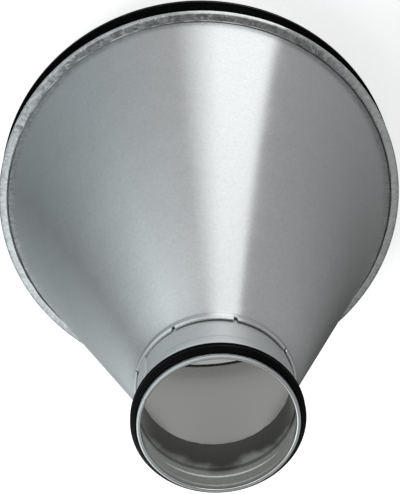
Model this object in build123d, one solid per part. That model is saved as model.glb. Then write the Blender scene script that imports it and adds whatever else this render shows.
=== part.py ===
"""Round duct reducer in galvanised sheet, 250 mm to 80 mm, with a rubber lip seal on each spigot.

The reducer stands on its large end. Z is the duct axis, and z = 0 is the plane of the large rim.
"""
from build123d import *
import math
import os

# Sheet and clearances
SHEET = 0.7
SEAT_GAP = 0.05

# Large spigot, its rolled rim and its stop bead
LARGE_DIAMETER = 249.2
LARGE_LENGTH = 40.0
LARGE_RIM_WIDTH = 2.4
LARGE_RIM_DEPTH = 4.0
LARGE_BEAD_FROM_END = 31.0
LARGE_BEAD_HALF_WIDTH = 3.2
LARGE_BEAD_HEIGHT = 0.7

# Small spigot, its rolled rim and its stop bead
SMALL_DIAMETER = 79.4
SMALL_LENGTH = 40.0
SMALL_RIM_WIDTH = 2.0
SMALL_RIM_DEPTH = 4.0
SMALL_BEAD_FROM_END = 15.5
SMALL_BEAD_HALF_WIDTH = 3.8
SMALL_BEAD_HEIGHT = 0.55

# Cone between the standing seam and the bend into its neck
CONE_HEIGHT = 209.4
CONE_FOOT_STEP = 0.85
NECK_LENGTH = 6.5
NECK_BEND_RADIUS = 1.5
NECK_BEAD_HALF_WIDTH = 2.6
NECK_BEAD_HEIGHT = 0.8

# Standing lock seam: the large spigot's flange is folded over the hook at the cone's foot
SEAM_STAND = 6.5
SEAM_HEIGHT = 4.5
SEAM_FOLD_SLACK = 0.6

# Lap joint along each spigot and the slit it leaves in the rolled rim
LAP_ANGLE = 151.0
LAP_WIDTH = 6.0
LAP_HEIGHT = SHEET
RIM_SLIT_WIDTH = 1.2
SLIT_OVERCUT = 1.0

# Relief slits in the edge of the neck
NECK_SLITS = 8
NECK_SLIT_ANGLE = 72.0
NECK_SLIT_WIDTH = 1.2
NECK_SLIT_DEPTH = 2.4

# Lip seals: a band round the spigot with lips that lean away from its end
SEAL_LIPS = 2
SEAL_BAND_WIDTH = 5.2
SEAL_BAND_HEIGHT = 1.2
LIP_ROOT_FROM_EDGE = 0.4
LIP_THICKNESS = 1.1
LIP_LEAN = 1.2
LIP_PITCH = 2.4
LARGE_LIP_HEIGHT = 7.0
LARGE_SEAL_FROM_END = 18.5
SMALL_LIP_HEIGHT = 3.1
SMALL_SEAL_FROM_END = 2.6

# Places that follow from the sizes above
LARGE_RADIUS = LARGE_DIAMETER / 2
SMALL_RADIUS = SMALL_DIAMETER / 2
SEAM_BOTTOM = LARGE_LENGTH
SEAM_TOP = SEAM_BOTTOM + SEAM_HEIGHT
SEAM_RADIUS = LARGE_RADIUS + SEAM_STAND
CONE_FOOT_RADIUS = LARGE_RADIUS + CONE_FOOT_STEP
NECK_RADIUS = SMALL_RADIUS + SEAT_GAP + SHEET
NECK_BEND = SEAM_TOP + CONE_HEIGHT
NECK_TOP = NECK_BEND + NECK_LENGTH
SMALL_END = NECK_BEND + SMALL_LENGTH
OUTSIDE_BEND = 1.35 * SHEET
INSIDE_BEND = 0.4 * SHEET
BEAD_BEND = 0.8 * SHEET
RIM_ROUNDING = 0.48
BEAD_CORNERS = 4


def revolved(points, radii):
    """Turn a closed outline, given as (radius, height) points with corner radii, about the duct axis."""
    outline = FilletPolyline(*[(r, 0, z) for r, z in points], radius=radii, close=True)
    return revolve(make_face(outline), Axis.Z)


def bead(radius, height, half_width, place):
    """Outline points of a shallow swaged bead on a round wall, in the direction of growing height."""
    rise = half_width / 2
    steps = ((-half_width, 0), (-rise, height), (rise, height), (half_width, 0))
    return [(radius + up, place + along) for along, up in steps]


def mirrored(points, plane):
    """Turn an outline upside down, so that heights are measured down from a plane."""
    return [(r, plane - z) for r, z in points]


def spigot_wall(radius, rim_width, rim_depth, bead_place, bead_half_width, bead_height):
    """Outside and inside points of a spigot, from the rim upwards, without its far end."""
    outside = [(radius, 0)] + bead(radius, bead_height, bead_half_width, bead_place)
    inner = radius - SHEET
    inside = bead(inner, bead_height, bead_half_width, bead_place)[::-1]
    inside += [(inner, rim_depth), (radius - rim_width, rim_depth), (radius - rim_width, 0)]
    return outside, inside


def wall_radii(rim_width):
    """Corner radii of the outside and inside points that spigot_wall gives."""
    round_rim = RIM_ROUNDING * rim_width
    bends = [BEAD_BEND] * BEAD_CORNERS
    return [round_rim] + bends, bends + [0, SHEET / 2, round_rim]


def spoke(width, inner, outer, bottom, top, angle):
    """Radial block used for the lap joint and for slits."""
    block = Pos((inner + outer) / 2, 0, (bottom + top) / 2) * Box(outer - inner, width, top - bottom)
    return Rot(0, 0, angle) * block


def lap(radius, bottom, top, angle):
    """Strip of overlapping sheet along the outside of a spigot."""
    ring = Cylinder(radius + LAP_HEIGHT, top - bottom) - Cylinder(radius - SHEET / 2, top - bottom)
    strip = Pos(0, 0, (bottom + top) / 2) * ring
    return strip & spoke(LAP_WIDTH, radius / 2, radius * 2, bottom, top, angle)


def make_large_collar():
    """Large spigot with rolled rim, stop bead, lap joint and the fold that grips the cone's flange."""
    outside, inside = spigot_wall(LARGE_RADIUS, LARGE_RIM_WIDTH, LARGE_RIM_DEPTH, LARGE_BEAD_FROM_END,
                                  LARGE_BEAD_HALF_WIDTH, LARGE_BEAD_HEIGHT)
    outside_radii, inside_radii = wall_radii(LARGE_RIM_WIDTH)
    fold_edge = CONE_FOOT_RADIUS + SEAM_FOLD_SLACK
    fold_root = SEAM_RADIUS - SHEET
    fold = [(LARGE_RADIUS, SEAM_BOTTOM), (SEAM_RADIUS, SEAM_BOTTOM), (SEAM_RADIUS, SEAM_TOP),
            (fold_edge, SEAM_TOP), (fold_edge, SEAM_TOP - SHEET), (fold_root, SEAM_TOP - SHEET),
            (fold_root, SEAM_BOTTOM + SHEET), (LARGE_RADIUS - SHEET, SEAM_BOTTOM + SHEET)]
    fold_radii = [SHEET / 2, OUTSIDE_BEND, OUTSIDE_BEND, 0, 0, INSIDE_BEND, INSIDE_BEND, SHEET]
    wall = revolved(outside + fold + inside, outside_radii + fold_radii + inside_radii)
    seal_top = LARGE_SEAL_FROM_END + SEAL_BAND_WIDTH
    strip = lap(LARGE_RADIUS, seal_top + LIP_LEAN, SEAM_BOTTOM, LAP_ANGLE)
    slit = spoke(RIM_SLIT_WIDTH, LARGE_RADIUS - LARGE_RIM_WIDTH - SLIT_OVERCUT, LARGE_RADIUS - SHEET, SHEET,
                 LARGE_RIM_DEPTH + SLIT_OVERCUT, LAP_ANGLE)
    return wall + strip - slit


def make_cone_body():
    """Rolled cone with the hook that the seam grips and the neck that holds the small spigot."""
    hook_radius = SEAM_RADIUS - SHEET - INSIDE_BEND - SEAT_GAP
    hook_bottom = SEAM_BOTTOM + SHEET
    hook_top = SEAM_TOP - SHEET
    slope = math.atan2(CONE_FOOT_RADIUS - NECK_RADIUS, NECK_BEND - hook_top)
    side = SHEET / math.cos(slope)
    neck_middle = NECK_BEND + NECK_BEND_RADIUS / 2 + NECK_BEAD_HALF_WIDTH
    outside = bead(NECK_RADIUS, NECK_BEAD_HEIGHT, NECK_BEAD_HALF_WIDTH, neck_middle)
    inside = bead(NECK_RADIUS - SHEET, NECK_BEAD_HEIGHT, NECK_BEAD_HALF_WIDTH, neck_middle)[::-1]
    points = [(CONE_FOOT_RADIUS - side, hook_top - SHEET), (hook_radius - SHEET, hook_top - SHEET),
              (hook_radius - SHEET, hook_bottom), (hook_radius, hook_bottom), (hook_radius, hook_top),
              (CONE_FOOT_RADIUS, hook_top), (NECK_RADIUS, NECK_BEND)]
    points += outside + [(NECK_RADIUS, NECK_TOP), (NECK_RADIUS - SHEET, NECK_TOP)]
    points += inside + [(NECK_RADIUS - SHEET, NECK_BEND)]
    bends = [BEAD_BEND] * BEAD_CORNERS
    hook_radii = [SHEET, INSIDE_BEND, 0, 0, OUTSIDE_BEND, SHEET / 3]
    radii = hook_radii + [NECK_BEND_RADIUS] + bends + [0, 0] + bends + [NECK_BEND_RADIUS]
    cone = revolved(points, radii)
    for number in range(NECK_SLITS):
        angle = NECK_SLIT_ANGLE + number * 360 / NECK_SLITS
        cone -= spoke(NECK_SLIT_WIDTH, NECK_RADIUS - SHEET - SLIT_OVERCUT,
                      NECK_RADIUS + NECK_BEAD_HEIGHT + SLIT_OVERCUT, NECK_TOP - NECK_SLIT_DEPTH,
                      NECK_TOP + SLIT_OVERCUT, angle)
    return cone


def make_small_collar():
    """Small spigot with rolled rim, stop bead and lap joint, pushed into the cone's neck."""
    outside, inside = spigot_wall(SMALL_RADIUS, SMALL_RIM_WIDTH, SMALL_RIM_DEPTH, SMALL_BEAD_FROM_END,
                                  SMALL_BEAD_HALF_WIDTH, SMALL_BEAD_HEIGHT)
    outside_radii, inside_radii = wall_radii(SMALL_RIM_WIDTH)
    end = [(SMALL_RADIUS, SMALL_LENGTH), (SMALL_RADIUS - SHEET, SMALL_LENGTH)]
    points = mirrored(outside + end + inside, SMALL_END)
    wall = revolved(points, outside_radii + [0, 0] + inside_radii)
    seal_back = SMALL_END - SMALL_SEAL_FROM_END - SEAL_BAND_WIDTH
    strip = lap(SMALL_RADIUS, NECK_TOP, seal_back - LIP_LEAN, LAP_ANGLE)
    slit = spoke(RIM_SLIT_WIDTH, SMALL_RADIUS - SMALL_RIM_WIDTH - SLIT_OVERCUT, SMALL_RADIUS - SHEET,
                 SMALL_END - SMALL_RIM_DEPTH - SLIT_OVERCUT, SMALL_END - SHEET, LAP_ANGLE)
    return wall + strip - slit


def seal_points(radius, lip_height, from_end):
    """Outline of a double-lip seal, with heights measured from the spigot's end."""
    foot = radius + SEAT_GAP
    crown = foot + SEAL_BAND_HEIGHT
    tip = foot + lip_height
    back = from_end + SEAL_BAND_WIDTH
    points = [(foot, from_end), (crown, from_end)]
    for lip in range(SEAL_LIPS):
        root = from_end + LIP_ROOT_FROM_EDGE + lip * LIP_PITCH
        points += [(crown, root), (tip, root + LIP_LEAN), (tip, root + LIP_LEAN + LIP_THICKNESS),
                   (crown, root + LIP_THICKNESS)]
    return points + [(crown, back), (foot, back)]


def seal_radii():
    """Corner radii of the seal's outline."""
    soft = LIP_ROOT_FROM_EDGE / 2
    lip = [soft, LIP_THICKNESS / 5, LIP_THICKNESS / 5, soft]
    return [0, soft] + lip * SEAL_LIPS + [soft, 0]


def make_large_seal():
    """Lip seal on the large spigot."""
    return revolved(seal_points(LARGE_RADIUS, LARGE_LIP_HEIGHT, LARGE_SEAL_FROM_END), seal_radii())


def make_small_seal():
    """Lip seal on the small spigot."""
    points = seal_points(SMALL_RADIUS, SMALL_LIP_HEIGHT, SMALL_SEAL_FROM_END)
    return revolved(mirrored(points, SMALL_END), seal_radii())


PIECES = {
    "large_collar": make_large_collar,
    "cone_body": make_cone_body,
    "small_collar": make_small_collar,
    "large_seal": make_large_seal,
    "small_seal": make_small_seal,
}

os.makedirs("parts", exist_ok=True)
for name, make in PIECES.items():
    export_step(make(), f"parts/{name}.step")
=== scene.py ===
"""Dress the duct reducer: galvanised sheet, black lip seals, a pale floor and soft studio light."""
import logging
import math
from dataclasses import dataclass
from enum import Enum
from typing import Callable, Union

import bpy
from mathutils import Matrix, Vector, noise


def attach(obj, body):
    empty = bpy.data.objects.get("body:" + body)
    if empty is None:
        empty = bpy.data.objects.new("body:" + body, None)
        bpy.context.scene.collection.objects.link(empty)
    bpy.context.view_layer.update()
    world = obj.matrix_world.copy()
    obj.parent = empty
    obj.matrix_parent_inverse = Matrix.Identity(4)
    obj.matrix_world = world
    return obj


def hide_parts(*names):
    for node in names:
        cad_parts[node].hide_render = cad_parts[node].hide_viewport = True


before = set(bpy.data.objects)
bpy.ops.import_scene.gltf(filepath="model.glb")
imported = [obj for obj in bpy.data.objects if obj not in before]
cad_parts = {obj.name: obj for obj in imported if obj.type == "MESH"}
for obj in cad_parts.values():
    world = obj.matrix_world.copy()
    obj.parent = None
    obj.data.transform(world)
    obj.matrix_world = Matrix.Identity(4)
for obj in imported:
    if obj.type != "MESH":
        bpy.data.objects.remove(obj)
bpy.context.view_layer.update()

Point = tuple[float, float]
Span = tuple[float, float]
Place = tuple[float, float, float]
Colour = tuple[float, float, float]
Shift = Callable[[float, float, float], Point]
Socket = bpy.types.NodeSocket
Feed = Union[Socket, float, Colour]

LOG = logging.getLogger("duct_reducer")
MM = 0.001
FULL_TURN = 2 * math.pi
WHITE = (1.0, 1.0, 1.0)

# Input numbers of the mix node for the factor, the first value and the second, and its colour output
MIX_VALUES = (0, 2, 3)
MIX_COLOURS = (0, 6, 7)
MIXED_COLOUR = 2

# Sizes that several pieces share, in millimetres
SHEET = 0.7
REDUCER_HEIGHT = 293.9
SPIGOT_LENGTH = 40.0
LARGE_RADIUS = 124.6
SMALL_RADIUS = 39.7
NECK_LENGTH = 6.5
NECK_CLEARANCE = 0.05
SEAM_STAND = 6.5
SEAM_HEIGHT = 4.5
HOOK_GAP = 0.33
CONE_FOOT_STEP = 0.85
FOLD_SLACK = 0.6
LAP_CLEARANCE = 0.3
SLIT_WIDTH = 1.2
OUTER_BEND = 1.35 * SHEET
INNER_BEND = 0.4 * SHEET


class Slot(Enum):
    """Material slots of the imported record."""

    SHEET = "galvanised_sheet"
    RUBBER = "seal_rubber"


@dataclass(frozen=True)
class Corner:
    """One corner of a turned outline, in millimetres.

    Args:
        r: Distance from the duct axis.
        z: Height above the plane that the reducer stands on.
        bend: Radius of the rounded corner, or zero for a sharp one.
    """

    r: float
    z: float
    bend: float = 0.0


@dataclass
class Outline:
    """Closed outline of a turned piece, with rounded corners and even steps along its runs.

    Args:
        corners: Corners in order.
        run_step: Length of the steps along straight runs, in millimetres.
        bend_steps: Steps in each rounded corner.
        least_reach: Length in millimetres below which a bend is left out.
        straight_half: Half angle in radians above which a corner counts as straight.
    """

    corners: list[Corner]
    run_step: float
    bend_steps: int = 5
    least_reach: float = 1e-6
    straight_half: float = 0.495 * math.pi

    def arc(self, before: Corner, here: Corner, after: Corner) -> list[Point]:
        """Round one corner.

        Args:
            before: Corner that comes before it.
            here: Corner to round.
            after: Corner that follows it.

        Returns:
            Points along the bend, or the corner itself where it is sharp.
        """
        tip = Vector((here.r, here.z))
        back = Vector((before.r, before.z)) - tip
        on = Vector((after.r, after.z)) - tip
        half = back.angle(on) / 2
        reach = here.bend / math.tan(half) if here.bend else 0.0
        if reach < self.least_reach or half > self.straight_half:
            return [(here.r, here.z)]
        inward = (back.normalized() + on.normalized()).normalized()
        centre = tip + inward * here.bend / math.sin(half)
        start = tip + back.normalized() * reach - centre
        end = tip + on.normalized() * reach - centre
        sweep = start.angle_signed(end)
        points = []
        for step in range(self.bend_steps + 1):
            spoke = start.copy()
            spoke.rotate(Matrix.Rotation(-sweep * step / self.bend_steps, 2))
            points.append(tuple(centre + spoke))
        return points

    def points(self) -> list[Point]:
        """Divide the outline into points.

        Returns:
            Points in millimetres, with long runs divided into even steps.
        """
        count = len(self.corners)
        bends = []
        for index, corner in enumerate(self.corners):
            bends.append(self.arc(self.corners[index - 1], corner, self.corners[(index + 1) % count]))
        found: list[Point] = []
        for index, bend in enumerate(bends):
            found += bend
            here = Vector(bend[-1])
            run = Vector(bends[(index + 1) % count][0]) - here
            parts = max(1, round(run.length / self.run_step))
            found += [tuple(here + run * part / parts) for part in range(1, parts)]
        return found


@dataclass
class Lathe:
    """Turns outlines about the duct axis into smooth meshes.

    Args:
        segments: Steps round the axis.
        crease_deg: Angle above which an edge stays sharp.
    """

    segments: int
    crease_deg: float = 40.0

    def turn(self, name: str, outline: Outline, shift: Shift) -> bpy.types.Object:
        """Turn an outline into a closed mesh.

        Args:
            name: Name of the new object.
            outline: Closed outline to turn.
            shift: Takes a point's radius, height and angle, and gives its place in the section.

        Returns:
            The new object, linked to the scene.
        """
        ring = outline.points()
        count = len(ring)
        vertices = []
        for turn in range(self.segments):
            angle = FULL_TURN * turn / self.segments
            for r, z in ring:
                out, up = shift(r, z, angle)
                vertices.append((out * MM * math.cos(angle), out * MM * math.sin(angle), up * MM))
        faces = []
        for turn in range(self.segments):
            here, there = turn * count, (turn + 1) % self.segments * count
            for index in range(count):
                following = (index + 1) % count
                faces.append((here + index, there + index, there + following, here + following))
        mesh = bpy.data.meshes.new(name)
        mesh.from_pydata(vertices, [], faces)
        mesh.validate()
        mesh.shade_smooth()
        mesh.set_sharp_from_angle(angle=math.radians(self.crease_deg))
        made = bpy.data.objects.new(name, mesh)
        bpy.context.scene.collection.objects.link(made)
        return made


def near_angle(angle: float, centre_deg: float, half_deg: float) -> float:
    """Tell how far inside a sector an angle lies.

    Args:
        angle: Angle to test, in radians.
        centre_deg: Middle of the sector, in degrees.
        half_deg: Half of the sector's width, in degrees.

    Returns:
        One at the middle, zero at the edge and below zero outside.
    """
    off = (math.degrees(angle) - centre_deg + 180) % 360 - 180
    return 1 - abs(off) / half_deg


def dip(angle: float, centre_deg: float, half_deg: float) -> float:
    """Give the depth of a smooth round dip.

    Args:
        angle: Angle to test, in radians.
        centre_deg: Middle of the dip, in degrees.
        half_deg: Half of the dip's width, in degrees.

    Returns:
        One at the middle, falling to zero at the edge and outside.
    """
    inside = max(0.0, near_angle(angle, centre_deg, half_deg))
    return inside * inside * (3 - 2 * inside)


def no_shift(r: float, z: float, angle: float) -> Point:
    """Leave a point of the outline where it is."""
    return r, z


def hung(corners: list[Corner]) -> list[Corner]:
    """Turn an outline upside down, so that it is measured from the top of the reducer."""
    return [Corner(corner.r, REDUCER_HEIGHT - corner.z, corner.bend) for corner in corners]


@dataclass(frozen=True)
class Ripple:
    """Smooth random wave round the duct axis.

    Args:
        height: Height of the wave, in millimetres.
        scale: How closely the waves follow each other.
        start: Where in the noise the wave is taken from.
        drift: How fast it changes along the wall, for each millimetre.
    """

    height: float
    scale: float
    start: float = 0.0
    drift: float = 0.0

    def at(self, angle: float, along: float = 0.0) -> float:
        """Give the wave's height, in millimetres, at an angle and a place along the wall."""
        x, y = self.scale * math.cos(angle), self.scale * math.sin(angle)
        return self.height * noise.noise(Vector((x, y, self.start + self.drift * along)))


class NodeBoard:
    """Small helper that adds and links nodes in one node tree."""

    def __init__(self, tree: bpy.types.NodeTree) -> None:
        """Keep the tree that the nodes go to."""
        self.tree = tree

    def add(self, kind: str, **values: object) -> bpy.types.Node:
        """Add a node.

        Args:
            kind: Node type, such as ShaderNodeTexNoise.
            values: Attributes of the node, or inputs where the node has no such attribute.

        Returns:
            The new node.
        """
        node = self.tree.nodes.new(kind)
        for key, value in values.items():
            if hasattr(node, key):
                setattr(node, key, value)
            else:
                node.inputs[key.replace("_", " ")].default_value = value
        return node

    def feed(self, target: Socket, value: Feed) -> None:
        """Link an input to a socket, or set it to a number or a colour.

        Args:
            target: Input socket.
            value: What goes into it.
        """
        if isinstance(value, Socket):
            self.tree.links.new(value, target)
        elif target.type == "RGBA":
            target.default_value = (*value, 1)
        else:
            target.default_value = value

    def place(self) -> Socket:
        """Give the place on the object, in metres."""
        return self.add("ShaderNodeTexCoord").outputs["Object"]

    def axes(self) -> bpy.types.NodeOutputs:
        """Split the place on the object into X, Y and Z.

        Returns:
            Outputs with those names.
        """
        split = self.add("ShaderNodeSeparateXYZ")
        self.feed(split.inputs["Vector"], self.place())
        return split.outputs

    def calculate(self, operation: str, *values: Feed) -> Socket:
        """Calculate with numbers.

        Args:
            operation: Operation of the math node, such as MAXIMUM.
            values: Numbers or sockets, in the order of the node's inputs.

        Returns:
            The result's socket.
        """
        node = self.add("ShaderNodeMath", operation=operation)
        for target, value in zip(node.inputs, values):
            self.feed(target, value)
        return node.outputs["Value"]

    def combine(self, operation: str, *vectors: Feed) -> Socket:
        """Calculate with vectors.

        Args:
            operation: Operation of the vector math node, such as NORMALIZE.
            vectors: Vectors or sockets, in the order of the node's inputs.

        Returns:
            The result's socket, which is a number for a dot product.
        """
        node = self.add("ShaderNodeVectorMath", operation=operation)
        for target, vector in zip(node.inputs, vectors):
            self.feed(target, vector)
        return node.outputs["Value" if operation == "DOT_PRODUCT" else "Vector"]

    def cloud(self, place: Socket, scale: Feed, **settings: float) -> bpy.types.NodeOutputs:
        """Add a cloudy noise.

        Args:
            place: Place on the object.
            scale: Number of clouds to a metre.
            settings: Other inputs of the noise node.

        Returns:
            The noise node's outputs.
        """
        node = self.add("ShaderNodeTexNoise", **settings)
        self.feed(node.inputs["Vector"], place)
        self.feed(node.inputs["Scale"], scale)
        return node.outputs

    def group(self, tree: bpy.types.NodeTree, **values: float) -> bpy.types.NodeOutputs:
        """Place a node group.

        Args:
            tree: Group to place.
            values: Inputs by name, with an underscore for a blank.

        Returns:
            The group's outputs.
        """
        return self.add("ShaderNodeGroup", node_tree=tree, **values).outputs

    def ramp(self, value: Socket, stops: list[tuple[float, Colour]]) -> Socket:
        """Map a value through a colour ramp.

        Args:
            value: Socket to map.
            stops: Pairs of place and colour.

        Returns:
            The ramp's colour socket.
        """
        node = self.add("ShaderNodeValToRGB")
        band = node.color_ramp.elements
        band[0].position, band[1].position = 0.0, 1.0
        for place, colour in stops[1:-1]:
            band.new(place).color = (*colour, 1)
        band[0].color, band[len(band) - 1].color = (*stops[0][1], 1), (*stops[-1][1], 1)
        self.feed(node.inputs["Fac"], value)
        return node.outputs["Color"]

    def stretch(self, value: Socket, source: tuple[Feed, Feed] = (0.0, 1.0), target: Span = (0.0, 1.0),
                smooth: bool = False) -> Socket:
        """Map a value from one range to another, and hold it there past the ends.

        Args:
            value: Socket to map.
            source: Range that it comes from.
            target: Range that it goes to.
            smooth: Whether it changes softly near the ends.

        Returns:
            The result's socket.
        """
        node = self.add("ShaderNodeMapRange", interpolation_type="SMOOTHSTEP" if smooth else "LINEAR")
        for label, limit in zip(("From Min", "From Max", "To Min", "To Max"), (*source, *target)):
            self.feed(node.inputs[label], limit)
        self.feed(node.inputs["Value"], value)
        return node.outputs["Result"]

    def mix_value(self, factor: Feed, first: Feed, second: Feed) -> Socket:
        """Mix two numbers.

        Args:
            factor: Share of the second number.
            first: First number or socket.
            second: Second number or socket.

        Returns:
            The mixed number's socket.
        """
        node = self.add("ShaderNodeMix", data_type="FLOAT")
        for slot, value in zip(MIX_VALUES, (factor, first, second)):
            self.feed(node.inputs[slot], value)
        return node.outputs[0]

    def mix_colour(self, factor: Feed, first: Feed, second: Feed) -> Socket:
        """Mix two colours.

        Args:
            factor: Share of the second colour.
            first: First colour or socket.
            second: Second colour or socket.

        Returns:
            The mixed colour's socket.
        """
        node = self.add("ShaderNodeMix", data_type="RGBA")
        for slot, value in zip(MIX_COLOURS, (factor, first, second)):
            self.feed(node.inputs[slot], value)
        return node.outputs[MIXED_COLOUR]

    def bump(self, height: Socket, rise_mm: float, strength: float) -> Socket:
        """Turn a height into normals.

        Args:
            height: Height from 0 to 1.
            rise_mm: What a height of 1 stands for, in millimetres.
            strength: How strongly the relief turns the light.

        Returns:
            The socket of the normals.
        """
        node = self.add("ShaderNodeBump", Strength=strength, Distance=rise_mm * MM)
        self.feed(node.inputs["Height"], height)
        return node.outputs["Normal"]


def new_material(name: str) -> tuple[bpy.types.Material, NodeBoard, bpy.types.NodeInputs]:
    """Start a material.

    Args:
        name: Name of the material.

    Returns:
        The material, a board to build it with and the inputs of its shader.
    """
    made = bpy.data.materials.new(name)
    made.use_nodes = True
    return made, NodeBoard(made.node_tree), made.node_tree.nodes["Principled BSDF"].inputs


def new_glow(name: str) -> tuple[bpy.types.Material, NodeBoard, bpy.types.NodeInputs]:
    """Start a material that only glows.

    Args:
        name: Name of the material.

    Returns:
        The material, a board to build it with and the inputs of its glow.
    """
    made = bpy.data.materials.new(name)
    made.use_nodes = True
    nodes = made.node_tree.nodes
    nodes.remove(nodes["Principled BSDF"])
    board = NodeBoard(made.node_tree)
    glow = board.add("ShaderNodeEmission")
    board.feed(nodes["Material Output"].inputs["Surface"], glow.outputs["Emission"])
    return made, board, glow.inputs


def new_stage(name: str, vertices: list[Place], faces: list[tuple[int, ...]]) -> bpy.types.Object:
    """Add a mesh that belongs to the studio and not to the part.

    Args:
        name: Name of the object.
        vertices: Points in metres.
        faces: Faces as numbers of points.

    Returns:
        The new object, linked to the scene.
    """
    mesh = bpy.data.meshes.new(name)
    mesh.from_pydata(vertices, [], faces)
    made = bpy.data.objects.new(name, mesh)
    bpy.context.scene.collection.objects.link(made)
    return made


class Effects:
    """Shader node groups that several finishes share.

    Attributes:
        warp_reach: How far, in metres, the edges of the crystal patches wander.
        smudge_full: Level of the noise at which a smudge is full.
        inner_lean: Slope toward the duct axis at which the inside starts, and at which it is full.
    """

    warp_reach: float = 0.012
    smudge_full: float = 0.85
    inner_lean: Span = (-0.25, -0.45)

    def __init__(self) -> None:
        """Build the groups once."""
        self.spangle = self.make_spangle()
        self.handling = self.make_handling()
        self.inner_face = self.make_inner_face()

    @staticmethod
    def new_group(name: str, inputs: dict[str, float],
                  outputs: list[str]) -> tuple[bpy.types.NodeTree, NodeBoard]:
        """Start a group with float sockets.

        Args:
            name: Name of the group.
            inputs: Input names with their default values.
            outputs: Output names.

        Returns:
            The group's tree and a board to build it with.
        """
        tree = bpy.data.node_groups.new(name, "ShaderNodeTree")
        for label, value in inputs.items():
            socket = tree.interface.new_socket(label, in_out="INPUT", socket_type="NodeSocketFloat")
            socket.default_value = value
        for label in outputs:
            tree.interface.new_socket(label, in_out="OUTPUT", socket_type="NodeSocketFloat")
        return tree, NodeBoard(tree)

    def make_spangle(self) -> bpy.types.NodeTree:
        """Build the zinc spangle: soft crystal patches with fine grain.

        Returns:
            Group with the outputs Patch and Grain, both from 0 to 1.
        """
        scales = {"Patch Scale": 90.0, "Grain Scale": 1400.0}
        tree, board = self.new_group("zinc_spangle", scales, ["Patch", "Grain"])
        source = board.add("NodeGroupInput").outputs
        target = board.add("NodeGroupOutput").inputs
        place = board.place()
        warp = board.cloud(place, 60.0, Detail=2.0)
        bent = board.combine("MULTIPLY_ADD", warp["Color"], (self.warp_reach,) * 3, place)
        cells = board.add("ShaderNodeTexVoronoi", feature="SMOOTH_F1", Smoothness=0.6)
        board.feed(cells.inputs["Vector"], bent)
        board.feed(cells.inputs["Scale"], source["Patch Scale"])
        split = board.add("ShaderNodeSeparateColor")
        board.feed(split.inputs["Color"], cells.outputs["Color"])
        board.feed(target["Patch"], split.outputs["Red"])
        grain = board.cloud(place, source["Grain Scale"], Detail=3.0, Roughness=0.6)
        board.feed(target["Grain"], grain["Fac"])
        return tree

    def make_handling(self) -> bpy.types.NodeTree:
        """Build broad smudges from handling and storage.

        Returns:
            Group with the output Smudge, from 0 on clean sheet to 1 on a smudge.
        """
        tree, board = self.new_group("handling_smudge", {"Smudge Scale": 18.0, "Cover": 0.5}, ["Smudge"])
        source = board.add("NodeGroupInput").outputs
        target = board.add("NodeGroupOutput").inputs
        cloud = board.cloud(board.place(), source["Smudge Scale"], Detail=5.0, Roughness=0.55, Distortion=0.4)
        clean = board.calculate("SUBTRACT", 1.0, source["Cover"])
        board.feed(target["Smudge"], board.stretch(cloud["Fac"], (clean, self.smudge_full), smooth=True))
        return tree

    def make_inner_face(self) -> bpy.types.NodeTree:
        """Build the mask of the faces that look at the duct axis.

        Returns:
            Group with the output Inner, 1 on the inside of the duct and 0 on its outside.
        """
        tree, board = self.new_group("inner_face", {}, ["Inner"])
        target = board.add("NodeGroupOutput").inputs
        across = board.combine("MULTIPLY", board.place(), (1, 1, 0))
        outward = board.combine("NORMALIZE", across)
        facing = board.add("ShaderNodeNewGeometry").outputs["Normal"]
        lean = board.combine("DOT_PRODUCT", outward, facing)
        board.feed(target["Inner"], board.stretch(lean, self.inner_lean))
        return tree


@dataclass(frozen=True)
class Shade:
    """Painted shade: darker colour laid on a wall below a height, with an uneven edge.

    Args:
        colour: Painted dark colour below that height.
        span: Heights in metres between which it fades out.
        uneven: How far, in metres, smudges move its edge.
    """

    colour: Colour
    span: Span
    uneven: float

    def over(self, board: NodeBoard, base: Socket, smudge: Socket) -> Socket:
        """Lay the shade over a colour.

        Args:
            board: Board of the material.
            base: Colour above the height.
            smudge: Mask that makes the edge uneven.

        Returns:
            The new colour.
        """
        height = board.calculate("MULTIPLY_ADD", smudge, self.uneven, board.axes()["Z"])
        return board.mix_colour(board.stretch(height, self.span, smooth=True), self.colour, base)


@dataclass(frozen=True)
class UnshadedSide:
    """Side of the reducer where the painted shade in the seam's groove is left off.

    Args:
        azimuth: Direction of that side, in degrees.
        span: Distances in metres toward it between which the painted shade fades out.
    """

    azimuth: float
    span: Span

    def mask(self, board: NodeBoard) -> Socket:
        """Mark the side without the painted shade.

        Args:
            board: Board of the material.

        Returns:
            Mask that is 1 on that side and 0 elsewhere.
        """
        side = math.radians(self.azimuth)
        toward = board.combine("DOT_PRODUCT", board.place(), (math.cos(side), math.sin(side), 0))
        return board.stretch(toward, self.span, smooth=True)


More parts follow.
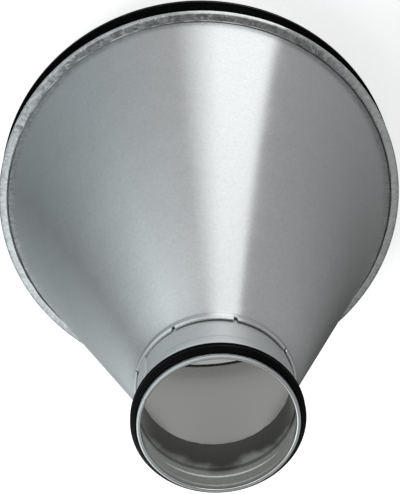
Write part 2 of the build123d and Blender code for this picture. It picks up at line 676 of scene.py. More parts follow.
@dataclass(frozen=True)
class GalvanisedFinish:
    """Satin zinc coat of one sheet piece.

    Args:
        name: Name of the material.
        dark: Colour of the darker crystal patches.
        light: Colour of the lighter crystal patches.
        smudge_colour: Colour that handling leaves.
        inner: Colour of the inside; where it is darker than the outside it is painted shade, and where it is
            lighter it is painted light.
        inner_dark: Brightness of the inside's darker patches, as a share of the lighter ones.
        rough: Roughness of the smoothest and of the roughest patches.
        smudge_rough: Roughness that a smudge adds.
        inner_rough: Roughness of the inside.
        bump_mm: Height of the crystal relief.
        bump_strength: How strongly that relief turns the light.
        grain_relief: Height of the grain, as a share of the patches' height.
        patch_scale: Number of crystal patches to a metre.
        grain_scale: Number of grains to a metre.
        joint: Painted shade of the inside near the joint, in place of a dark reflection there, where it has
            one.
        groove: Painted shade in the groove of the lock seam, where there is one.
        groove_unshaded_side: Side of the groove where that painted shade is left off.
        smudge: Share of the surface with smudges.
        speckle: Share of the fine grain in the colour.
    """

    name: str
    dark: Colour = (0.490, 0.505, 0.513)
    light: Colour = (0.640, 0.655, 0.663)
    smudge_colour: Colour = (0.545, 0.560, 0.570)
    # Painted shade: this dark inside colour stands in for the shade inside the duct.
    inner: Colour = (0.197, 0.202, 0.183)
    inner_dark: float = 0.97
    rough: Span = (0.20, 0.25)
    smudge_rough: float = 0.02
    inner_rough: float = 0.24
    bump_mm: float = 0.004
    bump_strength: float = 0.25
    grain_relief: float = 0.35
    patch_scale: float = 90.0
    grain_scale: float = 620.0
    joint: Shade | None = None
    groove: Shade | None = None
    groove_unshaded_side: UnshadedSide = UnshadedSide(124.0, (0.096, 0.118))
    smudge: float = 0.40
    speckle: float = 0.9

    def outer_colour(self, board: NodeBoard, patch: Socket, grain: Socket, smudge: Socket) -> Socket:
        """Colour the outside, with painted shade in the seam's groove where there is one.

        Args:
            board: Board of the material.
            patch: Mask of the crystal patches.
            grain: Mask of the fine grain.
            smudge: Mask of the smudges.

        Returns:
            The colour's socket.
        """
        zinc = board.mix_colour(board.mix_value(self.speckle, patch, grain), self.dark, self.light)
        outer = board.mix_colour(smudge, zinc, self.smudge_colour)
        if self.groove is None:
            return outer
        # Painted shade darkens the seam's groove, and the unshaded side keeps the groove bright.
        groove_shaded = self.groove.over(board, outer, smudge)
        return board.mix_colour(self.groove_unshaded_side.mask(board), groove_shaded, outer)

    def inner_colour(self, board: NodeBoard, patch: Socket, smudge: Socket) -> Socket:
        """Colour the inside, with its painted light and shade where it has them.

        Args:
            board: Board of the material.
            patch: Mask of the crystal patches.
            smudge: Mask of the smudges.

        Returns:
            The colour's socket.
        """
        darker = tuple(self.inner_dark * part for part in self.inner)
        inside_base = board.mix_colour(patch, darker, self.inner)
        # The joint's painted shade darkens the inside near the joint.
        return inside_base if self.joint is None else self.joint.over(board, inside_base, smudge)

    def make(self, effects: Effects) -> bpy.types.Material:
        """Build the material.

        Args:
            effects: Shared node groups.

        Returns:
            The new material.
        """
        made, board, shader = new_material(self.name)
        shader["Metallic"].default_value = 1.0
        spangle = board.group(effects.spangle, Patch_Scale=self.patch_scale, Grain_Scale=self.grain_scale)
        patch, grain = spangle["Patch"], spangle["Grain"]
        smudge = board.group(effects.handling, Cover=self.smudge)["Smudge"]
        inner = board.group(effects.inner_face)["Inner"]
        outer_colour = self.outer_colour(board, patch, grain, smudge)
        inner_colour = self.inner_colour(board, patch, smudge)
        board.feed(shader["Base Color"], board.mix_colour(inner, outer_colour, inner_colour))
        patch_rough = board.stretch(patch, target=self.rough)
        rough = board.calculate("MULTIPLY_ADD", smudge, self.smudge_rough, patch_rough)
        board.feed(shader["Roughness"], board.mix_value(inner, rough, self.inner_rough))
        relief = board.calculate("MULTIPLY_ADD", grain, self.grain_relief, patch)
        board.feed(shader["Normal"], board.bump(relief, self.bump_mm, self.bump_strength))
        return made


@dataclass(frozen=True)
class RubberFinish:
    """Black rubber of the lip seals.

    Args:
        name: Name of the material.
        deep: Colour of clean rubber.
        dusty: Colour where talc and dust cling.
        dust_scale: Number of dusty patches to a metre.
        rough: Roughness of clean and of dusty rubber.
        sheen: How much light the surface mirrors.
        grain_scale: Number of grains to a metre.
        bump_mm: Height of the grain.
        bump_strength: How strongly the grain turns the light.
    """

    name: str
    deep: Colour = (0.003, 0.003, 0.0034)
    dusty: Colour = (0.007, 0.007, 0.0076)
    dust_scale: float = 45.0
    rough: Span = (0.37, 0.54)
    sheen: float = 0.045
    grain_scale: float = 2600.0
    bump_mm: float = 0.02
    bump_strength: float = 0.3

    def make(self, effects: Effects) -> bpy.types.Material:
        """Build the material.

        Args:
            effects: Shared node groups.

        Returns:
            The new material.
        """
        made, board, shader = new_material(self.name)
        shader["Specular IOR Level"].default_value = self.sheen
        smudge = board.group(effects.handling, Smudge_Scale=self.dust_scale)["Smudge"]
        board.feed(shader["Base Color"], board.mix_colour(smudge, self.deep, self.dusty))
        board.feed(shader["Roughness"], board.stretch(smudge, target=self.rough))
        grain = board.group(effects.spangle, Grain_Scale=self.grain_scale)["Grain"]
        board.feed(shader["Normal"], board.bump(grain, self.bump_mm, self.bump_strength))
        return made


def dress(piece: bpy.types.Object, node: str, material: bpy.types.Material) -> bpy.types.Object:
    """Put a finished piece in the place of its plain solid.

    Args:
        piece: New piece.
        node: Solid that it stands for.
        material: Finish of the piece.

    Returns:
        The piece.
    """
    piece.data.materials.clear()
    piece.data.materials.append(material)
    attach(piece, "root")
    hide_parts(node)
    LOG.info("%s: %d faces", piece.name, len(piece.data.polygons))
    return piece


@dataclass(frozen=True)
class Bead:
    """Shallow swaged bead on a round wall, in millimetres.

    Args:
        place: Height of its middle.
        half_width: Half of its width.
        height: How far it stands out.
        bend: Radius of its corners.
    """

    place: float
    half_width: float
    height: float
    bend: float = 0.56

    def corners(self, radius: float) -> list[Corner]:
        """Place the bead on a wall.

        Args:
            radius: Radius of the wall.

        Returns:
            The bead's corners, in the direction of growing height.
        """
        rise = self.half_width / 2
        steps = ((-self.half_width, 0.0), (-rise, self.height), (rise, self.height), (self.half_width, 0.0))
        return [Corner(radius + up, self.place + along, self.bend) for along, up in steps]


@dataclass(frozen=True)
class Spigot:
    """Round wall of one spigot, in millimetres, with heights measured from its open end.

    Args:
        radius: Outer radius of the sheet.
        rim_width: Width of the rolled rim.
        rim_depth: Depth of the rolled rim.
        bead: Swaged bead.
        lap: Heights between which the lap joint shows.
        lap_deg: Azimuth of the lap joint.
        lap_width: Width of the lap joint.
        lap_crease: Width of the crease beside the lap, as a share of half the lap's width.
        slit_width: Width of the slit in the rim.
        rim_round: Radius of the rim's corners, as a share of its width.
        touch: Tolerance for points on the rim's edge.
    """

    radius: float
    rim_width: float
    rim_depth: float
    bead: Bead
    lap: Span
    lap_deg: float = 151.0
    lap_width: float = 6.0
    lap_crease: float = 0.3
    slit_width: float = SLIT_WIDTH
    rim_round: float = 0.48
    touch: float = 0.01

    def outside(self) -> list[Corner]:
        """Give the corners of the outside wall, from the rim to the bead."""
        return [Corner(self.radius, 0.0, self.rim_round * self.rim_width)] + self.bead.corners(self.radius)

    def inside(self) -> list[Corner]:
        """Draw the inside wall.

        Returns:
            Its corners, from the bead back to the rim.
        """
        inner, lip = self.radius - SHEET, self.radius - self.rim_width
        rim = [Corner(inner, self.rim_depth), Corner(lip, self.rim_depth, SHEET / 2),
               Corner(lip, 0.0, self.rim_round * self.rim_width)]
        return self.bead.corners(inner)[::-1] + rim

    def half_angle(self, width: float) -> float:
        """Give half the angle, in degrees, that a width takes up round the spigot."""
        return math.degrees(width / 2 / self.radius)

    def seamed(self, r: float, along: float, angle: float) -> float:
        """Raise the lap joint and open the slit in the rim.

        Args:
            r: Radius of the point.
            along: Distance of the point from the spigot's end.
            angle: Angle of the point round the axis.

        Returns:
            The point's new radius.
        """
        start, stop = self.lap
        on_lap = near_angle(angle, self.lap_deg, self.half_angle(self.lap_width))
        if on_lap > -self.lap_crease and start < along < stop and r > self.radius - SHEET / 2:
            return r + (SHEET if on_lap > 0 else -SHEET / 2)
        on_slit = near_angle(angle, self.lap_deg, self.half_angle(self.slit_width)) > 0
        if on_slit and along <= self.rim_depth + self.touch and r < self.radius - SHEET:
            return self.radius - SHEET
        return r


@dataclass
class LargeCollar:
    """Large spigot with the fold that grips the cone's flange, in millimetres and degrees.

    Args:
        spigot: Round wall of the spigot.
        run_step: Length of the mesh's steps along straight runs.
        fold_edge: Radius of the fold's inner edge.
        edge_bend: Radius of that edge's corner.
        edge_band: Width of the edge that wanders in and out.
        edge_wander: How it wanders.
        fold_part: Share of the sheet's thickness that is shaped as the fold's top.
        fold_fall: How far the fold falls for each millimetre outward.
        waves: Long waves of the fold.
        hammering: Marks of the tool that closed it.
        dents_deg: Azimuths of its shallow dents.
        dent_half_deg: Half of a dent's width.
        dent_depth: Depth of a dent.
        notch_deg: Azimuth of its one notch.
        notch_half_deg: Half of the notch's width.
        notch_depth: Depth of the notch.
        most_drop: Most that any mark lowers the fold, so that it stays above the cone's hook.
        finish: Finish of the wall.
        fold_finish: Finish of the seam.
    """

    spigot: Spigot = Spigot(LARGE_RADIUS, rim_width=2.4, rim_depth=4.0, bead=Bead(31.0, 3.2, 0.7),
                            lap=(24.9, SPIGOT_LENGTH - LAP_CLEARANCE))
    run_step: float = 1.2
    fold_edge: float = LARGE_RADIUS + CONE_FOOT_STEP + FOLD_SLACK
    edge_bend: float = 0.3 * SHEET
    edge_band: float = 1.0
    edge_wander: Ripple = Ripple(0.35, 14.0, start=4.0)
    fold_part: float = 0.8
    fold_fall: float = 0.06
    waves: Ripple = Ripple(0.10, 9.0, start=0.3)
    hammering: Ripple = Ripple(0.07, 70.0, drift=0.9)
    dents_deg: tuple[float, ...] = (20.0, 58.0, 104.0, 111.0, 203.0, 251.0, 262.0, 309.0, 338.0)
    dent_half_deg: float = 1.8
    dent_depth: float = 0.14
    notch_deg: float = 148.5
    notch_half_deg: float = 0.9
    notch_depth: float = 0.42
    most_drop: float = 0.60
    finish: GalvanisedFinish = GalvanisedFinish(
        "galvanised_large_collar", dark=(0.48, 0.50, 0.508), light=(0.57, 0.588, 0.595),
        inner=(0.55, 0.56, 0.55), rough=(0.28, 0.36))
    fold_finish: GalvanisedFinish = GalvanisedFinish(
        "galvanised_fold", dark=(0.36, 0.37, 0.375), light=(0.63, 0.645, 0.65),
        smudge_colour=(0.50, 0.51, 0.515), inner=(0.55, 0.56, 0.55), rough=(0.18, 0.32), bump_mm=0.06,
        bump_strength=0.35, patch_scale=520.0, grain_scale=1400.0, smudge=0.45, speckle=0.3)

    def corners(self) -> list[Corner]:
        """Draw the section.

        Returns:
            The outline's corners, from the rim up the outside and back down the inside.
        """
        radius, ring = self.spigot.radius, self.spigot.radius + SEAM_STAND
        bottom, top = SPIGOT_LENGTH, SPIGOT_LENGTH + SEAM_HEIGHT
        fold = [
            Corner(radius, bottom, SHEET / 2),
            Corner(ring, bottom, OUTER_BEND),
            Corner(ring, top, OUTER_BEND),
            Corner(self.fold_edge, top, self.edge_bend),
            Corner(self.fold_edge, top - SHEET),
            Corner(ring - SHEET, top - SHEET, INNER_BEND),
            Corner(ring - SHEET, bottom + SHEET, INNER_BEND),
            Corner(radius - SHEET, bottom + SHEET, SHEET),
        ]
        return self.spigot.outside() + fold + self.spigot.inside()

    def shape(self, r: float, z: float, angle: float) -> Point:
        """Add the lap, the rim's slit and the hammered look of the fold.

        Args:
            r: Radius of the point.
            z: Height of the point.
            angle: Angle of the point round the axis.

        Returns:
            The point's new radius and height.
        """
        out = self.spigot.seamed(r, z, angle)
        top = SPIGOT_LENGTH + SEAM_HEIGHT
        if z <= top - self.fold_part * SHEET:
            return out, z
        if r < self.fold_edge + self.edge_band:
            out += self.edge_wander.at(angle)
        drop = self.fold_fall * (r - self.fold_edge) + self.waves.at(angle) + self.hammering.at(angle, r)
        drop += sum(self.dent_depth * dip(angle, place, self.dent_half_deg) for place in self.dents_deg)
        drop += self.notch_depth * dip(angle, self.notch_deg, self.notch_half_deg)
        return out, max(z - drop, top - self.most_drop)

    def build(self, lathe: Lathe, effects: Effects) -> bpy.types.Object:
        """Make the piece and put it in its place.

        Args:
            lathe: Lathe to turn it on.
            effects: Shared node groups.

        Returns:
            The piece.
        """
        piece = lathe.turn("large_collar_sheet", Outline(self.corners(), self.run_step), self.shape)
        dress(piece, "large_collar", self.finish.make(effects))
        piece.data.materials.append(self.fold_finish.make(effects))
        for face in piece.data.polygons:
            face.material_index = int(face.center.z > SPIGOT_LENGTH * MM)
        return piece


@dataclass
class ConeBody:
    """Rolled cone with the flange inside the lock seam and the neck that holds the small spigot.

    Sizes are in millimetres and degrees.

    Args:
        foot_radius: Radius of the cone where it meets its flange.
        foot_bend: Radius of the bend there.
        hook_radius: Outer radius of the hook at the flange's edge.
        hook_bottom: Height of the hook's lower edge.
        hook_top: Height of the flange's upper face.
        hook_droop: How far the inner corner at the foot is pressed down.
        neck_radius: Outer radius of the neck.
        neck_bend: Height at which the cone turns into the neck.
        bend_radius: Radius of the bend there.
        rib_half: Half of the width of the neck's rib.
        rib_height: How far that rib stands out.
        flare: How far the neck's edge opens at its widest.
        flare_length: Length of the neck that opens.
        flare_least: Share of the flare on the far side.
        flare_half_deg: Half of the width of the wide stretch.
        run_out: Length of the cone's top that runs out into the neck.
        run_out_rise: How far it rises there.
        slits: Number of slits in the neck's edge.
        slit_deg: Azimuth of the first slit, where the flare is widest.
        slit_width: Width of a slit.
        slit_depth: Depth of a slit.
        waves: Faint waves of the rolled sheet.
        wave_margin: Length without waves at the foot and at the neck.
        run_step: Length of the mesh's steps along straight runs.
        finish: Finish of the sheet.
    """

    foot_radius: float = LARGE_RADIUS + CONE_FOOT_STEP
    foot_bend: float = 1.0
    hook_radius: float = LARGE_RADIUS + SEAM_STAND - SHEET - HOOK_GAP
    hook_bottom: float = SPIGOT_LENGTH + SHEET
    hook_top: float = SPIGOT_LENGTH + SEAM_HEIGHT - SHEET
    hook_droop: float = 1.9
    neck_radius: float = SMALL_RADIUS + SHEET + NECK_CLEARANCE
    neck_bend: float = REDUCER_HEIGHT - SPIGOT_LENGTH
    bend_radius: float = 1.5
    rib_half: float = 2.6
    rib_height: float = 0.8
    flare: float = 0.55
    flare_length: float = 1.3
    flare_least: float = 0.2
    flare_half_deg: float = 80.0
    run_out: float = 12.0
    run_out_rise: float = 0.5
    slits: int = 8
    slit_deg: float = 72.0
    slit_width: float = SLIT_WIDTH
    slit_depth: float = 2.4
    waves: Ripple = Ripple(0.05, 5.0, drift=1 / 160)
    wave_margin: float = 6.0
    run_step: float = 4.5
    # Painted shade: the groove band darkens the seam's groove at the cone's foot.
    finish: GalvanisedFinish = GalvanisedFinish(
        "galvanised_cone", groove=Shade((0.38, 0.38, 0.375), (0.0447, 0.0453), uneven=0.0004))

    def corners(self) -> list[Corner]:
        """Draw the section.

        Returns:
            The outline's corners, from the foot round the hook, up the outside and back down the inside.
        """
        slope = math.atan2(self.foot_radius - self.neck_radius, self.neck_bend - self.hook_top)
        side = SHEET / math.cos(slope)
        neck_top = self.neck_bend + NECK_LENGTH
        inner = self.neck_radius - SHEET
        hook_inner, hook_under = self.hook_radius - SHEET, self.hook_top - SHEET
        foot = [
            Corner(self.foot_radius - side, hook_under - self.hook_droop, SHEET),
            Corner(hook_inner, hook_under, INNER_BEND),
            Corner(hook_inner, self.hook_bottom),
            Corner(self.hook_radius, self.hook_bottom),
            Corner(self.hook_radius, self.hook_top, OUTER_BEND),
            Corner(self.foot_radius, self.hook_top, self.foot_bend),
        ]
        rib = Bead(self.neck_bend + self.bend_radius / 2 + self.rib_half, self.rib_half, self.rib_height)
        outside = [Corner(self.neck_radius, self.neck_bend, self.bend_radius)] + rib.corners(self.neck_radius)
        edge = [Corner(self.neck_radius, neck_top, SHEET / 4), Corner(inner, neck_top)]
        inside = rib.corners(inner)[::-1] + [Corner(inner, self.neck_bend, self.bend_radius)]
        return foot + outside + edge + inside

    def on_slit(self, angle: float) -> bool:
        """Tell whether an angle lies on a slit in the neck's edge.

        Args:
            angle: Angle to test, in radians.

        Returns:
            True on a slit.
        """
        half = math.degrees(self.slit_width / 2 / self.neck_radius)
        places = [self.slit_deg + number * 360 / self.slits for number in range(self.slits)]
        return any(near_angle(angle, place, half) > 0 for place in places)

    def shape(self, r: float, z: float, angle: float) -> Point:
        """Cut the slits, open the neck's edge and give the rolled sheet its faint waves.

        Args:
            r: Radius of the point.
            z: Height of the point.
            angle: Angle of the point round the axis.

        Returns:
            The point's new radius and height.
        """
        neck_top = self.neck_bend + NECK_LENGTH
        if z > neck_top - self.slit_depth and self.on_slit(angle):
            z = neck_top - self.slit_depth
        if self.hook_top + self.wave_margin < z < self.neck_bend - self.wave_margin:
            r += self.waves.at(angle, z)
        if z > neck_top - self.flare_length:
            wide = dip(angle, self.slit_deg, self.flare_half_deg)
            opening = self.flare_least + (1 - self.flare_least) * wide
            r += self.flare * opening * (1 - (neck_top - z) / self.flare_length)
        below = self.neck_bend - z
        if 0 <= below < self.run_out:
            r += self.run_out_rise * (1 - below / self.run_out) ** 2
        elif -self.rib_half < below < 0:
            r += self.run_out_rise * (1 + below / self.rib_half)
        return r, z

    def build(self, lathe: Lathe, effects: Effects) -> bpy.types.Object:
        """Make the piece and put it in its place."""
        piece = lathe.turn("cone_sheet", Outline(self.corners(), self.run_step), self.shape)
        return dress(piece, "cone_body", self.finish.make(effects))


@dataclass
class SmallCollar:
    """Small spigot, pushed into the cone's neck, in millimetres.

    Args:
        spigot: Round wall of the spigot.
        rough_cut: Waves of its hidden end, which was cut by hand.
        cut_reach: Length at that end that the waves move.
        run_step: Length of the mesh's steps along straight runs.
        finish: Finish of the sheet.
    """

    spigot: Spigot = Spigot(SMALL_RADIUS, rim_width=2.0, rim_depth=4.0, bead=Bead(15.5, 3.8, 0.55),
                            lap=(9.0, SPIGOT_LENGTH - NECK_LENGTH - LAP_CLEARANCE))
    rough_cut: Ripple = Ripple(0.6, 12.0, start=2.0)
    cut_reach: float = 0.05
    run_step: float = 1.5
    # Painted light and shade: the light inside colour and the dark band at the joint stand in for the bright
    # and dark reflections inside the small spigot.
    finish: GalvanisedFinish = GalvanisedFinish(
        "galvanised_small_collar", dark=(0.48, 0.50, 0.508), light=(0.57, 0.588, 0.595),
        inner=(0.75, 0.765, 0.76), rough=(0.50, 0.56), inner_rough=0.20, smudge=0.62,
        joint=Shade((0.150, 0.152, 0.148), (0.274, 0.283), uneven=0.014))

    def corners(self) -> list[Corner]:
        """Draw the section.

        Returns:
            The outline's corners, from the rim down the outside and back up the inside.
        """
        radius = self.spigot.radius
        hidden_end = [Corner(radius, SPIGOT_LENGTH), Corner(radius - SHEET, SPIGOT_LENGTH)]
        return hung(self.spigot.outside() + hidden_end + self.spigot.inside())

    def shape(self, r: float, z: float, angle: float) -> Point:
        """Add the lap, the rim's slit and the rough cut of the hidden end.

        Args:
            r: Radius of the point.
            z: Height of the point.
            angle: Angle of the point round the axis.

        Returns:
            The point's new radius and height.
        """
        along = REDUCER_HEIGHT - z
        if along > SPIGOT_LENGTH - self.cut_reach:
            z += self.rough_cut.at(angle)
        return self.spigot.seamed(r, along, angle), z

    def build(self, lathe: Lathe, effects: Effects) -> bpy.types.Object:
        """Make the piece and put it in its place."""
        piece = lathe.turn("small_collar_sheet", Outline(self.corners(), self.run_step), self.shape)
        return dress(piece, "small_collar", self.finish.make(effects))


@dataclass
class LipSeal:
    """Double-lip rubber seal round a spigot, in millimetres.

    Args:
        node: Solid that it stands for.
        radius: Outer radius of the spigot.
        from_end: Distance of the seal from the spigot's end.
        lip_height: How far the lips stand out.
        upside_down: Whether the spigot is the one at the top.
        seat_gap: Gap between the seal and the spigot.
        band_width: Width of the band that grips the spigot.
        band_height: Height of that band.
        root_from_edge: Distance of the first lip from the band's edge.
        lip_thickness: Thickness of a lip.
        lip_lean: How far a lip leans back.
        lip_pitch: Distance from one lip to the next.
        lips: Number of lips.
        run_step: Length of the mesh's steps along straight runs.
        finish: Finish of the rubber.
    """

    node: str
    radius: float
    from_end: float
    lip_height: float
    upside_down: bool = False
    seat_gap: float = 0.05
    band_width: float = 5.2
    band_height: float = 1.2
    root_from_edge: float = 0.4
    lip_thickness: float = 1.1
    lip_lean: float = 1.2
    lip_pitch: float = 2.4
    lips: int = 2
    run_step: float = 2.0
    finish: RubberFinish = RubberFinish("seal_rubber_black")

    def corners(self) -> list[Corner]:
        """Draw the section.

        Returns:
            The outline's corners, from the spigot over the lips and back.
        """
        foot = self.radius + self.seat_gap
        crown, tip = foot + self.band_height, foot + self.lip_height
        back = self.from_end + self.band_width
        thick = self.lip_thickness
        soft, edge = self.root_from_edge / 2, thick / 5
        found = [Corner(foot, self.from_end), Corner(crown, self.from_end, soft)]
        for lip in range(self.lips):
            root = self.from_end + self.root_from_edge + lip * self.lip_pitch
            lean = root + self.lip_lean
            found += [Corner(crown, root, soft), Corner(tip, lean, edge)]
            found += [Corner(tip, lean + thick, edge), Corner(crown, root + thick, soft)]
        found += [Corner(crown, back, soft), Corner(foot, back)]
        return hung(found) if self.upside_down else found

    def build(self, lathe: Lathe, effects: Effects) -> bpy.types.Object:
        """Make the piece and put it in its place."""
        piece = lathe.turn(self.node + "_rubber", Outline(self.corners(), self.run_step), no_shift)
        return dress(piece, self.node, self.finish.make(effects))


@dataclass(frozen=True)
class Softbox:
    """Flat lamp of the studio.

    Args:
        name: Name of the lamp.
        place: Middle of the lamp, in metres.
        aim: Point that it faces.
        width: Width in metres.
        height: Height in metres.
        level: Brightness of its face, where 1 is white.
    """

    name: str
    place: Place
    aim: Place
    width: float
    height: float
    level: float

    def build(self) -> None:
        """Add the lamp to the scene."""
        lamp = bpy.data.lights.new(self.name, "AREA")
        lamp.shape = "RECTANGLE"
        lamp.size = self.width
        lamp.size_y = self.height
        lamp.energy = self.level * math.pi * self.width * self.height
        made = bpy.data.objects.new(self.name, lamp)
        made.location = self.place
        made.rotation_euler = (Vector(self.aim) - Vector(self.place)).to_track_quat("-Z", "Y").to_euler()
        made.visible_camera = False
        bpy.context.scene.collection.objects.link(made)


@dataclass(frozen=True)
class Cloth:
    """Place and brightness of one cloth of the light tent.

    Args:
        azimuth: Angle round the tent, in degrees.
        low: Level at the floor, where 1 is white.
        high: Level higher up.
    """

    azimuth: float
    low: float
    high: float


@dataclass(frozen=True)
class LightTent:
    """Bowl of translucent cloth round the object that the metal mirrors, and that nothing else sees.

    Args:
        skirt_radius: Inner edge of the cloth that lies on the floor, in metres.
        skirt_height: Height of that cloth.
        radius: Radius of the upright cloth.
        height: Height of the upright cloth, which also closes the tent above.
        vent_radius: Small hole in the middle of the roof.
        segments: Steps round the tent.
        roof_level: Brightness of the roof, where 1 is white.
        roof_weave: How far the roof's weave is above and below that level, as a share of it.
        full_level: Brightness that a ramp level of one stands for.
        cloths: Cloths round the tent, between which the light changes evenly.
        high_at: Height of the higher level, in metres.
        high_power: How late the change from low to high comes.
        cool_from: Azimuth in degrees from which the cloth has a cool tint.
        cool_to: Azimuth in degrees below which it still has that tint.
        cool_low: That tint at the floor.
        cool_high: That tint higher up.
    """

    skirt_radius: float = 0.136
    skirt_height: float = 0.001
    radius: float = 0.20
    height: float = 0.50
    vent_radius: float = 0.002
    segments: int = 180
    roof_level: float = 0.175
    roof_weave: float = 0.1
    full_level: float = 1.6
    cloths: tuple[Cloth, ...] = (
        Cloth(-180, 0.27, 0.60), Cloth(-135, 0.44, 1.60), Cloth(-98, 0.42, 0.35), Cloth(-82, 0.06, 0.20),
        Cloth(-50, 0.08, 0.55), Cloth(57, 0.50, 0.52), Cloth(59.5, 1.60, 1.35), Cloth(79, 1.60, 1.35),
        Cloth(94, 0.60, 0.85), Cloth(130, 0.48, 1.20), Cloth(180, 0.27, 0.60))
    high_at: float = 0.205
    high_power: float = 1.7
    cool_from: float = 95.0
    cool_to: float = -120.0
    cool_low: Colour = (0.90, 1.0, 1.02)
    cool_high: Colour = (0.94, 1.0, 1.01)

    def level_ramp(self, board: NodeBoard, turn: Socket, levels: list[float], cool: Colour) -> Socket:
        """Turn the cloths' levels at one height into a ramp round the tent.

        Args:
            board: Board of the tent's material.
            turn: Socket that runs from 0 at -180 degrees to 1 at 180 degrees.
            levels: Levels of the cloths at that height.
            cool: Tint of the cool cloths at that height.

        Returns:
            The ramp's colour socket.
        """
        stops = []
        for cloth, level in zip(self.cloths, levels):
            is_cool = cloth.azimuth > self.cool_from or cloth.azimuth < self.cool_to
            colour = tuple(level / self.full_level * part for part in (cool if is_cool else WHITE))
            stops.append(((cloth.azimuth + 180) / 360, colour))
        return board.ramp(turn, stops)

    def make_roof(self) -> bpy.types.Material:
        """Build the dim roof, a little brighter in its weave than between.

        Returns:
            The new material.
        """
        made, board, glow = new_glow("tent_roof")
        weave = board.add("ShaderNodeTexNoise", Scale=40.0)
        levels = ((1 - self.roof_weave) * self.roof_level, (1 + self.roof_weave) * self.roof_level)
        board.feed(glow["Strength"], board.stretch(weave.outputs["Fac"], target=levels))
        return made

    def make_cloth(self) -> bpy.types.Material:
        """Build the glowing cloth, which changes round the tent and with height.

        Returns:
            The new material.
        """
        made, board, glow = new_glow("tent_cloth")
        axes = board.axes()
        angle = board.calculate("ARCTAN2", axes["Y"], axes["X"])
        turn = board.stretch(angle, (-math.pi, math.pi))
        rise = board.calculate("POWER", board.stretch(axes["Z"], (0.0, self.high_at)), self.high_power)
        low = self.level_ramp(board, turn, [cloth.low for cloth in self.cloths], self.cool_low)
        high = self.level_ramp(board, turn, [cloth.high for cloth in self.cloths], self.cool_high)
        board.feed(glow["Color"], board.mix_colour(rise, low, high))
        glow["Strength"].default_value = self.full_level
        return made

    def build(self) -> None:
        """Add the tent to the scene."""
        profile = ((self.skirt_radius, self.skirt_height), (self.radius, self.skirt_height),
                   (self.radius, self.height), (self.vent_radius, self.height))
        angles = [FULL_TURN * step / self.segments for step in range(self.segments)]
        vertices = [(r * math.cos(angle), r * math.sin(angle), z) for r, z in profile for angle in angles]
        faces = []
        for band in range(len(profile) - 1):
            here, there = band * self.segments, (band + 1) * self.segments
            for step in range(self.segments):
                following = (step + 1) % self.segments
                faces.append((here + step, here + following, there + following, there + step))
        tent = new_stage("light_tent", vertices, faces)
        tent.data.materials.append(self.make_cloth())
        tent.data.materials.append(self.make_roof())
        for face in tent.data.polygons[-self.segments:]:
            face.material_index = 1
        tent.visible_camera = False
        tent.visible_diffuse = False
        tent.visible_shadow = False


def background_rays(board: NodeBoard) -> Socket:
    """Mark the rays that look at the background, straight or by way of metal and glass.

    Args:
        board: Board of a floor or world material.

    Returns:
        Socket that is 1 for those rays and 0 for the light on the object.
    """
    path = board.add("ShaderNodeLightPath").outputs
    seen = board.calculate("MAXIMUM", path["Is Camera Ray"], path["Is Glossy Ray"])
    return board.calculate("MAXIMUM", seen, path["Is Transmission Ray"])


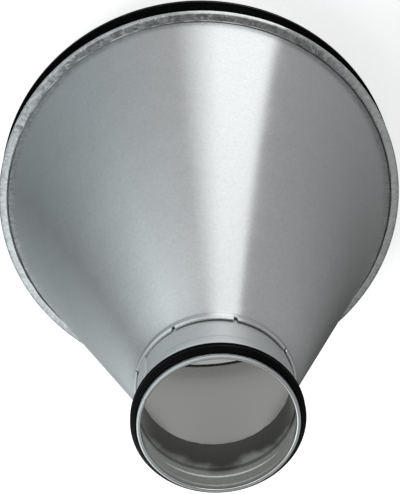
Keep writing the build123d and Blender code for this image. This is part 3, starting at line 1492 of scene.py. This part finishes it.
@dataclass
class Studio:
    """Floor, light and camera.

    Args:
        floor_half: Half of the floor's width, in metres.
        floor_colour: Colour of the floor's paper.
        floor_dark: Brightness of the paper's darker patches, as a share of the lighter ones.
        floor_glow: What the floor adds for rays that look at the background.
        world_level: Light of the room on the object.
        world_white: Level of the room for rays that look at the background.
        world_colour: Colour of the room's light.
        tent: Tent that the metal mirrors.
        overhead: The one lamp.
        image_size: Width and height of the picture, in pixels.
        focal_px: Focal length in pixels.
        tilt: Angle between the duct axis and the camera's axis, in radians.
        roll: Turn of the camera about its own axis, in radians.
        distance: Distance of the camera from the seam, in metres.
        seam_height: Height of the seam's middle, in metres.
        seam_px: Pixel at which the seam's middle lies.
    """

    floor_half: float = 12.0
    floor_colour: Colour = (0.90, 0.90, 0.90)
    floor_dark: float = 0.985
    floor_glow: float = 0.72
    world_level: float = 0.30
    world_white: float = 1.0
    world_colour: Colour = (0.97, 0.985, 1.0)
    tent: LightTent = LightTent()
    overhead: Softbox = Softbox("overhead", place=(-0.9, -0.35, 1.1), aim=(0.0, 0.0, 0.0),
                                width=1.0, height=1.0, level=3.2)
    image_size: tuple[int, int] = (400, 494)
    focal_px: float = 1274.7
    tilt: float = 0.4702
    roll: float = -0.0807
    distance: float = 0.8394
    seam_height: float = 0.04105
    seam_px: Point = (199.77, 205.0)

    def make_paper(self) -> bpy.types.Material:
        """Build the pale paper of the floor, which is white as a background and keeps the shadow.

        Returns:
            The new material.
        """
        made, board, shader = new_material("pale_floor")
        shader["Roughness"].default_value = 0.9
        shader["Specular IOR Level"].default_value = 0.1
        fibres = board.add("ShaderNodeTexNoise", Scale=6.0, Detail=3.0)
        darker = tuple(self.floor_dark * part for part in self.floor_colour)
        colour = board.mix_colour(fibres.outputs["Fac"], darker, self.floor_colour)
        board.feed(shader["Base Color"], colour)
        board.feed(shader["Emission Color"], colour)
        glow = board.stretch(background_rays(board), target=(0.0, self.floor_glow))
        board.feed(shader["Emission Strength"], glow)
        return made

    def build_floor(self) -> None:
        """Add the pale floor."""
        half = self.floor_half
        corners = [(-half, -half, 0), (half, -half, 0), (half, half, 0), (-half, half, 0)]
        new_stage("studio_floor", corners, [(0, 1, 2, 3)]).data.materials.append(self.make_paper())

    def build_world(self) -> None:
        """Set the even light of the room."""
        world = bpy.data.worlds.new("studio_room")
        bpy.context.scene.world = world
        world.use_nodes = True
        board = NodeBoard(world.node_tree)
        back = world.node_tree.nodes["Background"].inputs
        board.feed(back["Color"], self.world_colour)
        levels = (self.world_level, self.world_white)
        board.feed(back["Strength"], board.stretch(background_rays(board), target=levels))

    def build_camera(self) -> None:
        """Add the camera, from the fit of the rim, the seam and the cone's sides."""
        cos_tilt, sin_tilt = math.cos(self.tilt), math.sin(self.tilt)
        across, down = Vector((1, 0, 0)), Vector((0, -cos_tilt, sin_tilt))
        toward = Vector((0, sin_tilt, cos_tilt))
        right = across * math.cos(self.roll) - down * math.sin(self.roll)
        under = across * math.sin(self.roll) + down * math.cos(self.roll)
        width, height = self.image_size
        aside = (self.seam_px[0] - width / 2) / self.focal_px * self.distance
        below = (self.seam_px[1] - height / 2) / self.focal_px * self.distance
        place = Vector((0, 0, self.seam_height)) + toward * self.distance - right * aside - under * below
        data = bpy.data.cameras.new("photo_camera")
        data.sensor_width = 36.0
        data.lens = self.focal_px * data.sensor_width / height
        data.clip_start = 0.01
        camera = bpy.data.objects.new("photo_camera", data)
        turn = Matrix((right, -under, toward)).transposed().to_4x4()
        camera.matrix_world = Matrix.Translation(place) @ turn
        bpy.context.scene.collection.objects.link(camera)
        bpy.context.scene.camera = camera

    def build(self) -> None:
        """Set up the whole studio."""
        bpy.context.scene.view_settings.view_transform = "Standard"
        self.build_floor()
        self.build_world()
        self.tent.build()
        self.overhead.build()
        self.build_camera()


def main() -> None:
    """Build every piece and the studio."""
    logging.basicConfig(level=logging.INFO, format="%(message)s")
    effects = Effects()
    large_lathe, lathe = Lathe(segments=540), Lathe(segments=480)
    LargeCollar().build(large_lathe, effects)
    ConeBody().build(lathe, effects)
    SmallCollar().build(lathe, effects)
    LipSeal("large_seal", LARGE_RADIUS, from_end=18.5, lip_height=7.0).build(large_lathe, effects)
    LipSeal("small_seal", SMALL_RADIUS, from_end=2.6, lip_height=3.1, upside_down=True).build(lathe, effects)
    Studio().build()


if __name__ == "__main__":
    main()
